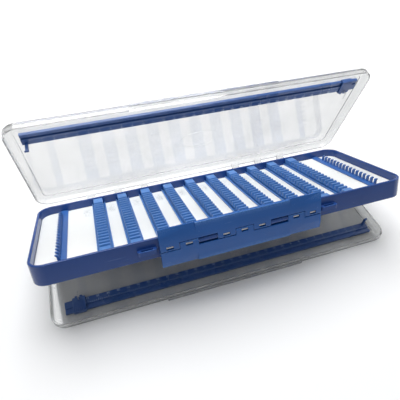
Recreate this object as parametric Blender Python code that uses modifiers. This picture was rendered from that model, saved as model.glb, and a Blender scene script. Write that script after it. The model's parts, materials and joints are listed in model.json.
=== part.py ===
"""Storage box with slotted bars on both faces of one tray and a clear lid over each face.

The lower lid lies on the table. The tray is propped open on its rear hinge, and the
upper lid stands open on the tray. Each lid carries a measuring rail with a fixed peg
and a sliding cursor, and two latch plates share one pin at the tray's front.

Frames: the tray is drawn about its own centre, the front at -Y, and then turned on
the lower hinge. A lid is drawn closed, with its hinge axis at y = 0, HINGE_DROP below its
parting plane at z = 0, and its flat outside at z = LID_DEPTH.
"""

import math

import bmesh
import bpy
from mathutils import Matrix

MM = 0.001
GAP = 0.3 * MM                      # left between pieces that touch

# Tray frame
TRAY_LENGTH = 366 * MM
TRAY_WIDTH = 126 * MM
TRAY_HEIGHT = 19.6 * MM
WALL = 2.8 * MM
CORNER_RADIUS = 14 * MM
RIM_ROUND = 0.7 * MM

# Floor panel, at the tray's mid-height
FLOOR_THICKNESS = 2.8 * MM

# Slotted bars, on both faces
BAR_COUNT = 10
BAR_WIDTH = 9.8 * MM
BAR_FOOT_WIDTH = 14.5 * MM
BAR_FOOT_HEIGHT = 1.6 * MM
BAR_BELOW_RIM = 1.0 * MM
NOTCH_PITCH = 5.75 * MM
NOTCH_MOUTH = 3.6 * MM
NOTCH_BOTTOM = 1.9 * MM
NOTCH_DEPTH = 4.4 * MM
FRONT_LAND = 5.5 * MM               # plain length of bar before the first notch
REAR_LAND = 10.0 * MM
WIDE_BAY_RATIO = 2.16               # bay beside an end comb, against a bay between bars

# End combs
END_BAY = 17.0 * MM                 # from the end wall to the comb's teeth
COMB_SPINE_WIDTH = 4.5 * MM
COMB_TOOTH_LENGTH = 6.0 * MM
COMB_TOOTH_THICKNESS = 2.4 * MM
COMB_SPINE_LOW = 1.0 * MM           # height of the spine's inner edge over the floor
COMB_SPINE_HIGH = 3.0 * MM
COMB_HOOK = 1.2 * MM                # the tooth's tip over the rest of the tooth

# Lids
LID_DEPTH = 7.6 * MM
LID_WALL = 1.6 * MM
LID_SETBACK = 0.6 * MM              # the lid's outline inside the tray's outline
PARTING_GAP = 0.1 * MM              # from a closed lid's rim to the tray's rim
LID_BORDER = 9 * MM                 # thicker border around the thin middle panel
LID_BORDER_STEP = 0.5 * MM
LID_EDGE_ROUND = 1.8 * MM
LEDGE_LENGTH = 147 * MM             # latch ledge along the lid's free edge
LEDGE_REACH = 2.3 * MM
LEDGE_ABOVE_RIM = 2.4 * MM
LEDGE_HEIGHT = 3.4 * MM

# Rear hinges
HINGE_DROP = 4.6 * MM               # hinge axis below the tray's rim
BARREL_RADIUS = 2.4 * MM
BARREL_CLEARANCE = 0.5 * MM         # between a barrel and the tray's rear wall
HINGE_PIN_RADIUS = 1.0 * MM
PIN_CLEARANCE = 0.15 * MM
KNUCKLE_LENGTH = 9 * MM
LUG_LENGTH = 3 * MM
HINGE_GAP = 0.4 * MM                # between an arm and the tray's rim, and beside a knuckle
ARM_ROOT_HEIGHT = 5.5 * MM          # top of a knuckle's arm on the lid's rear wall
STATION_PITCH = 30.7 * MM
GROUP_CENTRES = (-95.5 * MM, 81.0 * MM)
STATIONS_PER_GROUP = 3
PIN_OVERHANG = 1.2 * MM

# Latch plates, pin and strap loops at the front
LATCH_CENTRE = 3.0 * MM
LATCH_LENGTH = 157 * MM
LATCH_ABOVE_LID = 1.3 * MM
LATCH_THICKNESS = 3.6 * MM
LATCH_CLEARANCE = 0.6 * MM          # from the lid's ledge to the plate
LATCH_BARREL_RADIUS = 3.0 * MM
LATCH_PIN_RADIUS = 1.25 * MM
LATCH_PIN_FORWARD = 1.4 * MM        # pin axis in front of the plate's inner face
SEGMENTS = "ULFULUFLU"              # upper plate, lower plate or frame, from -X
SEGMENT_GAP = 0.4 * MM
WINDOW_LENGTH = 6.5 * MM
WINDOW_HEIGHT = 2.3 * MM
THUMB_LENGTH = 33 * MM              # thinned corner at each end of a plate
THUMB_HEIGHT = 8.6 * MM
THUMB_DEPTH = 1.8 * MM
LOOP_LENGTH = 17 * MM
LOOP_REACH = 5.4 * MM
LOOP_HEIGHT = 4.0 * MM
LOOP_SLOT_LENGTH = 11 * MM
LOOP_SLOT_WIDTH = 2.4 * MM
LOOP_FROM_LATCH = 2.0 * MM

# Rails, pegs, cursors and cursor pins inside the lids
RAIL_END_GAP = 13 * MM              # rail's end to the lid's end
RAIL_WIDTH = 12 * MM
RAIL_HEIGHT = 3.8 * MM
RAIL_FROM_HINGE = 110.3 * MM        # hinge axis to the rail's middle
RAIL_GROOVE_WIDTH = 1.2 * MM
RAIL_GROOVE_DEPTH = 1.6 * MM
RAIL_RIDGE_WIDTH = 3.6 * MM
RAIL_RIDGE_DROP = 0.8 * MM          # the ridge is this much lower than the main strip
PEG_WIDTH = 2.8 * MM
PEG_THICKNESS = 2.0 * MM
PEG_FROM_RAIL_END = 3.6 * MM
PEG_HEIGHT = 9.0 * MM               # over the rail's face
PEG_HOOK = 1.0 * MM
CURSOR_LENGTH = 12 * MM
CURSOR_WALL = 1.2 * MM
CURSOR_FROM_RAIL_END = 13.5 * MM
CURSOR_SEAT_GAP = 0.5 * MM          # cursor's skirts to the lid
CURSOR_BOSS_LENGTH = 2.6 * MM
CURSOR_BOSS_REACH = 1.6 * MM
WIRE_RADIUS = 0.5 * MM
WIRE_HEIGHT = 5.0 * MM              # over the cursor
WIRE_HOOK = 1.6 * MM
WIRE_SINK = 0.8 * MM

# How far each hinge stands open
TRAY_OPEN = math.radians(25.3)
UPPER_LID_OPEN = math.radians(52.7)

# Worked out from the sizes above
HALF_HEIGHT = TRAY_HEIGHT / 2
HINGE_Y = TRAY_WIDTH / 2 + BARREL_RADIUS + BARREL_CLEARANCE
LID_LENGTH = TRAY_LENGTH - 2 * LID_SETBACK
LID_WIDTH = TRAY_WIDTH - 2 * LID_SETBACK
INNER_LENGTH = TRAY_LENGTH - 2 * WALL
INNER_WIDTH = TRAY_WIDTH - 2 * WALL
BAR_LENGTH = INNER_WIDTH - 2 * GAP
BAR_BASE = FLOOR_THICKNESS / 2 + GAP
BAR_TOP = HALF_HEIGHT - BAR_BELOW_RIM
NOTCH_COUNT = int((BAR_LENGTH - FRONT_LAND - REAR_LAND) / NOTCH_PITCH)
FIRST_NOTCH = -BAR_LENGTH / 2 + FRONT_LAND + NOTCH_PITCH / 2
COMB_WIDTH = COMB_SPINE_WIDTH + COMB_TOOTH_LENGTH
COMB_INNER = INNER_LENGTH / 2 - END_BAY - COMB_WIDTH
BAY = (2 * COMB_INNER - BAR_COUNT * BAR_FOOT_WIDTH) / (BAR_COUNT - 1 + 2 * WIDE_BAY_RATIO)
BAR_PITCH = BAR_FOOT_WIDTH + BAY
LATCH_INNER_Y = -TRAY_WIDTH / 2 + LID_SETBACK - LEDGE_REACH - LATCH_CLEARANCE
LATCH_PIN_Y = LATCH_INNER_Y - LATCH_PIN_FORWARD
LATCH_TOP = HALF_HEIGHT + LID_DEPTH + LATCH_ABOVE_LID
LATCH_START = LATCH_CENTRE - LATCH_LENGTH / 2
SEGMENT = LATCH_LENGTH / len(SEGMENTS)
RAIL_LENGTH = LID_LENGTH - 2 * RAIL_END_GAP
RAIL_SEAT = LID_DEPTH - LID_WALL - GAP      # the rail hangs from here towards the tray
RAIL_FACE = RAIL_SEAT - RAIL_HEIGHT
WIRE_NOTCH = round((HINGE_Y - RAIL_FROM_HINGE + 2 * MM - FIRST_NOTCH) / NOTCH_PITCH)
WIRE_Y = FIRST_NOTCH + WIRE_NOTCH * NOTCH_PITCH - HINGE_Y    # in line with a row of notches

# Plane of a flat outline, and the axis it is pulled along
PULL = {
    "X": Matrix(((0, 0, 1, 0), (1, 0, 0, 0), (0, 1, 0, 0), (0, 0, 0, 1))),    # outline in Y, Z
    "Y": Matrix(((1, 0, 0, 0), (0, 0, -1, 0), (0, 1, 0, 0), (0, 0, 0, 1))),   # outline in X, Z
    "Z": Matrix.Identity(4),                                                  # outline in X, Y
}


def clear_scene():
    for old in list(bpy.data.objects):
        bpy.data.objects.remove(old, do_unlink=True)


def new_collection(name):
    collection = bpy.data.collections.new(name)
    bpy.context.scene.collection.children.link(collection)
    return collection


def material(name, colour, roughness, metallic=0.0, alpha=1.0):
    made = bpy.data.materials.new(name)
    made.use_nodes = True
    shader = made.node_tree.nodes["Principled BSDF"]
    shader.inputs["Base Color"].default_value = (*colour, 1.0)
    shader.inputs["Roughness"].default_value = roughness
    shader.inputs["Metallic"].default_value = metallic
    shader.inputs["Alpha"].default_value = alpha
    made.diffuse_color = (*colour, alpha)
    return made


# --- shaping helpers ---------------------------------------------------------------

def evaluated_mesh(source):
    bpy.context.view_layer.update()
    graph = bpy.context.evaluated_depsgraph_get()
    return bpy.data.meshes.new_from_object(source.evaluated_get(graph), depsgraph=graph)


def loose_object(name, mesh):
    made = bpy.data.objects.new(name, mesh)
    bpy.context.scene.collection.objects.link(made)
    return made


def with_modifier(mesh, kind, **settings):
    """The mesh that one modifier makes of another mesh."""
    holder = loose_object("holder", mesh)
    modifier = holder.modifiers.new(kind.title(), kind)
    for setting, value in settings.items():
        setattr(modifier, setting, value)
    result = evaluated_mesh(holder)
    bpy.data.objects.remove(holder, do_unlink=True)
    return result


def boolean(mesh, operation, tools):
    """Union with, or difference from, a set of meshes that don't touch each other."""
    tool = loose_object("tool", joined(tools))
    result = with_modifier(mesh, "BOOLEAN", operation=operation, object=tool, solver="EXACT")
    bpy.data.objects.remove(tool, do_unlink=True)
    return result


def joined(meshes):
    form = bmesh.new()
    for mesh in meshes:
        form.from_mesh(mesh)
    result = bpy.data.meshes.new("joined")
    form.to_mesh(result)
    form.free()
    return result


def rounded_edges(mesh, width, segments=2, angle=60):
    return with_modifier(mesh, "BEVEL", width=width, segments=segments,
                         limit_method="ANGLE", angle_limit=math.radians(angle))


def prism(loops, axis, start, end):
    """A filled flat curve, with any further loops as holes, pulled from start to end."""
    curve = bpy.data.curves.new("outline", "CURVE")
    curve.dimensions = "2D"
    curve.fill_mode = "BOTH"
    curve.extrude = (end - start) / 2
    for loop in loops:
        spline = curve.splines.new("POLY")
        spline.points.add(len(loop) - 1)
        for point, (across, up) in zip(spline.points, loop):
            point.co = (across, up, 0, 1)
        spline.use_cyclic_u = True
    outline = loose_object("outline", curve)
    mesh = evaluated_mesh(outline)
    bpy.data.objects.remove(outline, do_unlink=True)
    mesh.transform(PULL[axis] @ Matrix.Translation((0, 0, (start + end) / 2 * pull_sign(axis))))
    form = bmesh.new()
    form.from_mesh(mesh)
    bmesh.ops.remove_doubles(form, verts=form.verts, dist=1e-6)
    bmesh.ops.recalc_face_normals(form, faces=form.faces)
    form.to_mesh(mesh)
    form.free()
    return mesh


def pull_sign(axis):
    """The Y matrix pulls an outline towards -Y, so its distances change sign."""
    return -1 if axis == "Y" else 1


def block(low, high):
    form = bmesh.new()
    bmesh.ops.create_cube(form, size=1.0)
    size = [top - bottom for bottom, top in zip(low, high)]
    middle = [(top + bottom) / 2 for bottom, top in zip(low, high)]
    bmesh.ops.scale(form, vec=size, verts=form.verts)
    bmesh.ops.translate(form, vec=middle, verts=form.verts)
    mesh = bpy.data.meshes.new("block")
    form.to_mesh(mesh)
    form.free()
    return mesh


def rod_along_x(radius, start, end, y, z, sides=12):
    form = bmesh.new()
    bmesh.ops.create_cone(form, cap_ends=True, segments=sides, radius1=radius,
                          radius2=radius, depth=end - start)
    mesh = bpy.data.meshes.new("rod")
    form.to_mesh(mesh)
    form.free()
    mesh.transform(Matrix.Translation(((start + end) / 2, y, z)) @ Matrix.Rotation(math.pi / 2, 4, "Y"))
    return mesh


def rod_along_z(radius, start, end, x, y, sides=8):
    form = bmesh.new()
    bmesh.ops.create_cone(form, cap_ends=True, segments=sides, radius1=radius,
                          radius2=radius, depth=end - start)
    mesh = bpy.data.meshes.new("rod")
    form.to_mesh(mesh)
    form.free()
    mesh.transform(Matrix.Translation((x, y, (start + end) / 2)))
    return mesh


def arc(centre, radius, start, end, steps):
    return [(centre[0] + radius * math.cos(math.radians(start + (end - start) * i / steps)),
             centre[1] + radius * math.sin(math.radians(start + (end - start) * i / steps)))
            for i in range(steps + 1)]


def rounded_rectangle(length, width, radius, centre=(0.0, 0.0), steps=6):
    points = []
    for quarter, (right, up) in enumerate(((1, 1), (-1, 1), (-1, -1), (1, -1))):
        corner = (centre[0] + right * (length / 2 - radius), centre[1] + up * (width / 2 - radius))
        points += arc(corner, radius, 90 * quarter, 90 * quarter + 90, steps)
    return points


def circle(centre, radius, sides):
    return arc(centre, radius, 0, 360 * (sides - 1) / sides, sides - 1)


# --- where things go ---------------------------------------------------------------

def pivot(name, location, angle, parent=None):
    empty = bpy.data.objects.new(name, None)
    empty.location = location
    empty.rotation_euler.x = angle
    empty.parent = parent
    PARTS.objects.link(empty)
    return empty


def part(name, mesh, finish, parent, turned_over=False, location=(0.0, 0.0, 0.0), smooth=True):
    made = bpy.data.objects.new(name, mesh)
    if not mesh.materials:
        mesh.materials.append(finish)
    if smooth:
        mesh.shade_smooth()
        mesh.set_sharp_from_angle(angle=math.radians(35))
    made.parent = parent
    made.location = location
    made.rotation_euler.y = math.pi if turned_over else 0.0
    PARTS.objects.link(made)
    return made


# --- tray frame --------------------------------------------------------------------

def stations():
    """X of the middle of every lid knuckle."""
    middle = (STATIONS_PER_GROUP - 1) / 2
    return [centre + (i - middle) * STATION_PITCH
            for centre in GROUP_CENTRES for i in range(STATIONS_PER_GROUP)]


def hinge_bore(centre):
    return circle(centre, HINGE_PIN_RADIUS + PIN_CLEARANCE, 10)


def tray_hinge_lugs():
    """Pairs of lugs on the rear wall, one for each lid knuckle on either face."""
    wall_y = TRAY_WIDTH / 2 - WALL / 3
    offset = (KNUCKLE_LENGTH + LUG_LENGTH) / 2 + HINGE_GAP
    lugs = []
    for side in (1, -1):
        centre = (HINGE_Y, side * (HALF_HEIGHT - HINGE_DROP))
        barrel = arc(centre, BARREL_RADIUS, -90, 90, 8)
        outline = barrel + [(wall_y, barrel[-1][1]), (wall_y, barrel[0][1])]
        for x in stations():
            for end in (-1, 1):
                middle = side * x + end * offset
                lugs.append(prism([outline, hinge_bore(centre)], "X",
                                  middle - LUG_LENGTH / 2, middle + LUG_LENGTH / 2))
    return lugs


def segment_span(index):
    """X range of one piece of the latch hinge, less its running gap."""
    start = LATCH_START + index * SEGMENT
    return start + SEGMENT_GAP / 2, start + SEGMENT - SEGMENT_GAP / 2


def latch_lugs():
    """The frame's two lugs around the latch pin."""
    wall_y = -TRAY_WIDTH / 2 + WALL / 3
    centre = (LATCH_PIN_Y, 0.0)
    top = LATCH_BARREL_RADIUS
    outline = [(wall_y, -top), (wall_y, top)] + arc(centre, LATCH_BARREL_RADIUS, 90, 270, 8)
    bore = circle(centre, LATCH_PIN_RADIUS + PIN_CLEARANCE, 12)
    return [prism([outline, bore], "X", *segment_span(i))
            for i, owner in enumerate(SEGMENTS) if owner == "F"]


def strap_loops():
    """A flat loop on each side of the latch for a carrying strap."""
    loops = []
    wall_y = -TRAY_WIDTH / 2 + WALL / 3
    depth = LOOP_REACH + WALL / 3
    for side in (-1, 1):
        x = LATCH_CENTRE + side * (LATCH_LENGTH / 2 + LOOP_FROM_LATCH + LOOP_LENGTH / 2)
        front = -TRAY_WIDTH / 2 - LOOP_REACH
        radius = LOOP_REACH / 2
        outline = ([(x + LOOP_LENGTH / 2, wall_y), (x - LOOP_LENGTH / 2, wall_y)]
                   + arc((x - LOOP_LENGTH / 2 + radius, front + radius), radius, 180, 270, 4)
                   + arc((x + LOOP_LENGTH / 2 - radius, front + radius), radius, 270, 360, 4))
        slot_y = wall_y - depth / 2 - WALL / 6
        slot = rounded_rectangle(LOOP_SLOT_LENGTH, LOOP_SLOT_WIDTH, LOOP_SLOT_WIDTH * 0.45,
                                 (x, slot_y), 3)
        loops.append(prism([outline, slot], "Z", -LOOP_HEIGHT / 2, LOOP_HEIGHT / 2))
    return loops


def tray_frame_mesh():
    outer = rounded_rectangle(TRAY_LENGTH, TRAY_WIDTH, CORNER_RADIUS)
    inner = rounded_rectangle(INNER_LENGTH, INNER_WIDTH, CORNER_RADIUS - WALL)
    ring = prism([outer, inner], "Z", -HALF_HEIGHT, HALF_HEIGHT)
    ring = rounded_edges(ring, RIM_ROUND)
    return boolean(ring, "UNION", tray_hinge_lugs() + latch_lugs() + strap_loops())


def floor_panel_mesh():
    outline = rounded_rectangle(INNER_LENGTH - 2 * GAP, INNER_WIDTH - 2 * GAP, CORNER_RADIUS - WALL - GAP)
    return prism([outline], "Z", -FLOOR_THICKNESS / 2, FLOOR_THICKNESS / 2)


# --- slotted bars and end combs ----------------------------------------------------

def bar_mesh():
    """Notched body on a wider foot, drawn at x = 0 on the tray's upper face."""
    top = [(BAR_LENGTH / 2, BAR_TOP)]
    for i in reversed(range(NOTCH_COUNT)):
        y = FIRST_NOTCH + i * NOTCH_PITCH
        top += [(y + NOTCH_MOUTH / 2, BAR_TOP), (y + NOTCH_BOTTOM / 2, BAR_TOP - NOTCH_DEPTH),
                (y - NOTCH_BOTTOM / 2, BAR_TOP - NOTCH_DEPTH), (y - NOTCH_MOUTH / 2, BAR_TOP)]
    top.append((-BAR_LENGTH / 2, BAR_TOP))
    middle_of_foot = BAR_BASE + BAR_FOOT_HEIGHT / 2
    outline = [(-BAR_LENGTH / 2, middle_of_foot), (BAR_LENGTH / 2, middle_of_foot)] + top
    body = prism([outline], "X", -BAR_WIDTH / 2, BAR_WIDTH / 2)
    foot = block((-BAR_FOOT_WIDTH / 2, -BAR_LENGTH / 2, BAR_BASE),
                 (BAR_FOOT_WIDTH / 2, BAR_LENGTH / 2, BAR_BASE + BAR_FOOT_HEIGHT))
    return boolean(body, "UNION", [foot])


def comb_mesh(side):
    """Low sloping spine towards the tray's middle, with upright teeth towards its end.

    The spine's inner edge is at x = 0, and the teeth reach COMB_WIDTH towards side.
    """
    high = BAR_BASE + COMB_SPINE_HIGH
    low = BAR_BASE + COMB_SPINE_LOW
    profile = [(0, BAR_BASE), (COMB_SPINE_WIDTH, BAR_BASE), (COMB_SPINE_WIDTH, high), (0, low)]
    spine = prism([[(side * x, z) for x, z in profile]], "Y", -BAR_LENGTH / 2, BAR_LENGTH / 2)
    root = COMB_SPINE_WIDTH / 2
    shoulder = BAR_TOP - COMB_HOOK
    tip = COMB_WIDTH - COMB_HOOK
    profile = [(root, low), (COMB_SPINE_WIDTH, shoulder), (tip, shoulder), (tip, BAR_TOP),
               (COMB_WIDTH, BAR_TOP), (COMB_WIDTH, low)]
    teeth = []
    for i in range(NOTCH_COUNT - 1):
        y = FIRST_NOTCH + (i + 0.5) * NOTCH_PITCH
        teeth.append(prism([[(side * x, z) for x, z in profile]], "Y",
                           y - COMB_TOOTH_THICKNESS / 2, y + COMB_TOOTH_THICKNESS / 2))
    return boolean(spine, "UNION", teeth)


# --- lids, with their hinge knuckles -----------------------------------------------

def lid_mesh():
    centre = (0.0, -HINGE_Y)
    radius = CORNER_RADIUS - LID_SETBACK
    shell = prism([rounded_rectangle(LID_LENGTH, LID_WIDTH, radius, centre)],
                  "Z", -2 * LID_EDGE_ROUND, LID_DEPTH)
    shell = rounded_edges(shell, LID_EDGE_ROUND, 3)
    under_rim = block((-LID_LENGTH, -3 * HINGE_Y, -LID_DEPTH), (LID_LENGTH, HINGE_Y, PARTING_GAP))
    shell = boolean(shell, "DIFFERENCE", [under_rim])
    hollow = prism([rounded_rectangle(LID_LENGTH - 2 * LID_WALL, LID_WIDTH - 2 * LID_WALL,
                                      radius - LID_WALL, centre)],
                   "Z", -LID_DEPTH, LID_DEPTH - LID_WALL - LID_BORDER_STEP)
    shell = boolean(shell, "DIFFERENCE", [hollow])
    panel = prism([rounded_rectangle(LID_LENGTH - 2 * LID_BORDER, LID_WIDTH - 2 * LID_BORDER,
                                     radius / 2, centre, 4)], "Z", 0.0, LID_DEPTH - LID_WALL)
    shell = boolean(shell, "DIFFERENCE", [panel])
    front = -HINGE_Y - LID_WIDTH / 2
    ledge = block((-LEDGE_LENGTH / 2, front - LEDGE_REACH, LEDGE_ABOVE_RIM),
                  (LEDGE_LENGTH / 2, front + LID_WALL / 2, LEDGE_ABOVE_RIM + LEDGE_HEIGHT))
    root_y = LID_WIDTH / 2 - HINGE_Y - LID_WALL / 2
    axis = (0.0, -HINGE_DROP)
    outline = [(root_y, ARM_ROOT_HEIGHT), (root_y, HINGE_GAP), (-BARREL_RADIUS, HINGE_GAP)]
    outline += arc(axis, BARREL_RADIUS, 180, 390, 10)
    knuckles = [prism([outline, hinge_bore(axis)], "X", x - KNUCKLE_LENGTH / 2, x + KNUCKLE_LENGTH / 2)
                for x in stations()]
    return boolean(shell, "UNION", [ledge] + knuckles)


def hinge_pin_mesh(group):
    """Steel rod through one group of knuckles, about the hinge axis."""
    half = (STATIONS_PER_GROUP - 1) / 2 * STATION_PITCH
    half += KNUCKLE_LENGTH / 2 + HINGE_GAP + LUG_LENGTH + PIN_OVERHANG
    return rod_along_x(HINGE_PIN_RADIUS, group - half, group + half, 0.0, 0.0)


# --- latch plates and their pin ----------------------------------------------------

def latch_mesh(owner, side):
    """One plate with its knuckles: side is 1 for the upper plate and -1 for the lower."""
    outer_y = LATCH_INNER_Y - LATCH_THICKNESS
    plate_foot = LATCH_BARREL_RADIUS + SEGMENT_GAP
    end = LATCH_START + LATCH_LENGTH
    low, high = sorted((side * plate_foot, side * LATCH_TOP))
    plate = block((LATCH_START, outer_y, low), (end, LATCH_INNER_Y, high))

    rear_angle = math.degrees(math.acos((LATCH_INNER_Y - LATCH_PIN_Y) / LATCH_BARREL_RADIUS))
    front_angle = math.degrees(math.acos((outer_y - LATCH_PIN_Y) / LATCH_BARREL_RADIUS))
    web_top = plate_foot + SEGMENT_GAP
    barrel = arc((LATCH_PIN_Y, 0.0), LATCH_BARREL_RADIUS, front_angle, rear_angle + 360, 14)
    outline = [(LATCH_INNER_Y, web_top), (outer_y, web_top)] + barrel
    bore = circle((LATCH_PIN_Y, 0.0), LATCH_PIN_RADIUS + PIN_CLEARANCE, 12)
    loops = [[(y, side * z) for y, z in loop] for loop in (outline, bore)]
    spans = [segment_span(i) for i, letter in enumerate(SEGMENTS) if letter == owner]
    plate = boolean(plate, "UNION", [prism(loops, "X", *span) for span in spans])

    windows = []
    for start, stop in spans:
        middle = (start + stop) / 2
        windows.append(block((middle - WINDOW_LENGTH / 2, outer_y - LATCH_THICKNESS, -WINDOW_HEIGHT / 2),
                             (middle + WINDOW_LENGTH / 2, LATCH_PIN_Y, WINDOW_HEIGHT / 2)))
    plate = boolean(plate, "DIFFERENCE", windows)

    foot = LATCH_TOP - THUMB_HEIGHT
    over = LATCH_TOP + THUMB_DEPTH
    slope = THUMB_DEPTH / THUMB_HEIGHT
    wedge = [(outer_y - THUMB_DEPTH, foot), (outer_y, foot), (outer_y + slope * (over - foot), over),
             (outer_y - THUMB_DEPTH, over)]
    wedge = [(y, side * z) for y, z in wedge]
    thumbs = [prism([wedge], "X", LATCH_START - THUMB_DEPTH, LATCH_START + THUMB_LENGTH),
              prism([wedge], "X", end - THUMB_LENGTH, end + THUMB_DEPTH)]
    return boolean(plate, "DIFFERENCE", thumbs)


def latch_pin_mesh():
    return rod_along_x(LATCH_PIN_RADIUS, LATCH_START + SEGMENT_GAP,
                       LATCH_START + LATCH_LENGTH - SEGMENT_GAP, LATCH_PIN_Y, 0.0)


# --- measuring rail, cursor and cursor pin, drawn in the upper lid ------------------

def rail_sides():
    return -RAIL_FROM_HINGE - RAIL_WIDTH / 2, -RAIL_FROM_HINGE + RAIL_WIDTH / 2


def rail_mesh():
    """Strip with a groove and a lower ridge along its free side, and a hooked peg at -X."""
    free, hinge = rail_sides()
    ridge = free + RAIL_RIDGE_WIDTH
    groove = RAIL_FACE + RAIL_GROOVE_DEPTH
    outline = [(hinge, RAIL_SEAT), (free, RAIL_SEAT), (free, RAIL_FACE + RAIL_RIDGE_DROP),
               (ridge, RAIL_FACE + RAIL_RIDGE_DROP), (ridge, groove), (ridge + RAIL_GROOVE_WIDTH, groove),
               (ridge + RAIL_GROOVE_WIDTH, RAIL_FACE), (hinge, RAIL_FACE)]
    strip = prism([outline], "X", -RAIL_LENGTH / 2, RAIL_LENGTH / 2)
    x = -RAIL_LENGTH / 2 + PEG_FROM_RAIL_END
    tip = RAIL_FACE - PEG_HEIGHT
    left = x - PEG_WIDTH / 2
    right = x + PEG_WIDTH / 2
    hook = [(right, RAIL_FACE + RAIL_GROOVE_DEPTH), (left, RAIL_FACE + RAIL_GROOVE_DEPTH),
            (left, tip + PEG_HOOK), (left - PEG_HOOK, tip + PEG_HOOK / 2), (left - PEG_HOOK, tip),
            (right - PEG_HOOK / 2, tip), (right, tip + PEG_HOOK / 2)]
    peg = prism([hook], "Y", WIRE_Y - PEG_THICKNESS / 2, WIRE_Y + PEG_THICKNESS / 2)
    return boolean(strip, "UNION", [peg])


def cursor_x():
    return RAIL_LENGTH / 2 - CURSOR_FROM_RAIL_END


def cursor_face():
    return RAIL_FACE - GAP - CURSOR_WALL


def cursor_mesh():
    """Saddle around the rail, with two bosses beside the pin and the pin's hole."""
    free, hinge = rail_sides()
    inner_free, inner_hinge = free - GAP, hinge + GAP
    outer_free, outer_hinge = inner_free - CURSOR_WALL, inner_hinge + CURSOR_WALL
    skirt = LID_DEPTH - LID_WALL - CURSOR_SEAT_GAP
    under = RAIL_FACE - GAP
    face = cursor_face()
    outline = [(outer_free, skirt), (outer_free, face), (outer_hinge, face), (outer_hinge, skirt),
               (inner_hinge, skirt), (inner_hinge, under), (inner_free, under), (inner_free, skirt)]
    x = cursor_x()
    saddle = prism([outline], "X", x - CURSOR_LENGTH / 2, x + CURSOR_LENGTH / 2)
    bosses = []
    for end in (-1, 1):
        near = x + end * WIRE_RADIUS * 2
        far = near + end * CURSOR_BOSS_LENGTH
        bosses.append(block((min(near, far), outer_hinge - CURSOR_WALL / 2, face),
                            (max(near, far), outer_hinge + CURSOR_BOSS_REACH, under + CURSOR_WALL)))
    saddle = boolean(saddle, "UNION", bosses)
    hole = rod_along_z(WIRE_RADIUS + GAP, face - WIRE_SINK, face + WIRE_SINK, x, WIRE_Y)
    return boolean(saddle, "DIFFERENCE", [hole])


def cursor_pin_mesh():
    """Steel wire that stands in the cursor and ends in a small hook along the rail."""
    x = cursor_x()
    sunk = cursor_face() + WIRE_SINK - GAP
    tip = cursor_face() - WIRE_HEIGHT
    points = [(x, WIRE_Y, sunk), (x, WIRE_Y, tip + WIRE_HOOK)]
    points += [(x + WIRE_HOOK - WIRE_HOOK * math.cos(math.radians(a)), WIRE_Y,
                tip + WIRE_HOOK - WIRE_HOOK * math.sin(math.radians(a))) for a in (30, 60)]
    curve = bpy.data.curves.new("wire", "CURVE")
    curve.dimensions = "3D"
    curve.bevel_depth = WIRE_RADIUS
    curve.bevel_resolution = 2
    curve.use_fill_caps = True
    spline = curve.splines.new("POLY")
    spline.points.add(len(points) - 1)
    for point, place in zip(spline.points, points):
        point.co = (*place, 1)
    holder = loose_object("wire", curve)
    mesh = evaluated_mesh(holder)
    bpy.data.objects.remove(holder, do_unlink=True)
    form = bmesh.new()
    form.from_mesh(mesh)
    bmesh.ops.remove_doubles(form, verts=form.verts, dist=1e-6)
    form.to_mesh(mesh)
    form.free()
    return mesh


# --- the box -----------------------------------------------------------------------

clear_scene()
PARTS = new_collection("cryogenic_storage_box")

blue = material("blue_plastic", (0.03, 0.12, 0.42), 0.25)
white = material("white_sheet", (0.85, 0.85, 0.83), 0.55)
clear = material("clear_plastic", (0.88, 0.9, 0.92), 0.08, alpha=0.3)
steel = material("steel_wire", (0.65, 0.65, 0.66), 0.25, metallic=1.0)

lower_lid_pivot = pivot("lower_lid_pivot", (0.0, HINGE_Y, LID_DEPTH + HINGE_DROP), 0.0)
tray_pivot = pivot("tray_pivot", (0.0, HINGE_Y, LID_DEPTH + HINGE_DROP), -TRAY_OPEN)
tray_centre = pivot("tray_centre", (0.0, -HINGE_Y, HALF_HEIGHT - HINGE_DROP), 0.0, tray_pivot)
upper_lid_pivot = pivot("upper_lid_pivot", (0.0, HINGE_Y, HALF_HEIGHT - HINGE_DROP), -UPPER_LID_OPEN,
                        tray_centre)

part("tray_frame", tray_frame_mesh(), blue, tray_centre)
part("floor_panel", floor_panel_mesh(), white, tray_centre)

bar = bar_mesh()
for i in range(BAR_COUNT):
    x = (i - (BAR_COUNT - 1) / 2) * BAR_PITCH
    part(f"upper_bar_{i + 1:02d}", bar, blue, tray_centre, False, (x, 0.0, 0.0))
    part(f"lower_bar_{i + 1:02d}", bar, blue, tray_centre, True, (x, 0.0, 0.0))

left_comb = comb_mesh(-1)
right_comb = comb_mesh(1)
part("upper_comb_left", left_comb, blue, tray_centre, False, (-COMB_INNER, 0.0, 0.0))
part("upper_comb_right", right_comb, blue, tray_centre, False, (COMB_INNER, 0.0, 0.0))
part("lower_comb_left", right_comb, blue, tray_centre, True, (-COMB_INNER, 0.0, 0.0))
part("lower_comb_right", left_comb, blue, tray_centre, True, (COMB_INNER, 0.0, 0.0))

lid = lid_mesh()
rail = rail_mesh()
cursor = cursor_mesh()
wire = cursor_pin_mesh()
for level, lid_pivot, turned in (("lower", lower_lid_pivot, True), ("upper", upper_lid_pivot, False)):
    parting_plane = (0.0, 0.0, -HINGE_DROP if turned else HINGE_DROP)
    part(f"{level}_lid", lid, clear, lid_pivot, turned, parting_plane)
    part(f"{level}_rail", rail, blue, lid_pivot, turned, parting_plane)
    part(f"{level}_cursor", cursor, blue, lid_pivot, turned, parting_plane)
    part(f"{level}_cursor_pin", wire, steel, lid_pivot, turned, parting_plane)

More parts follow.
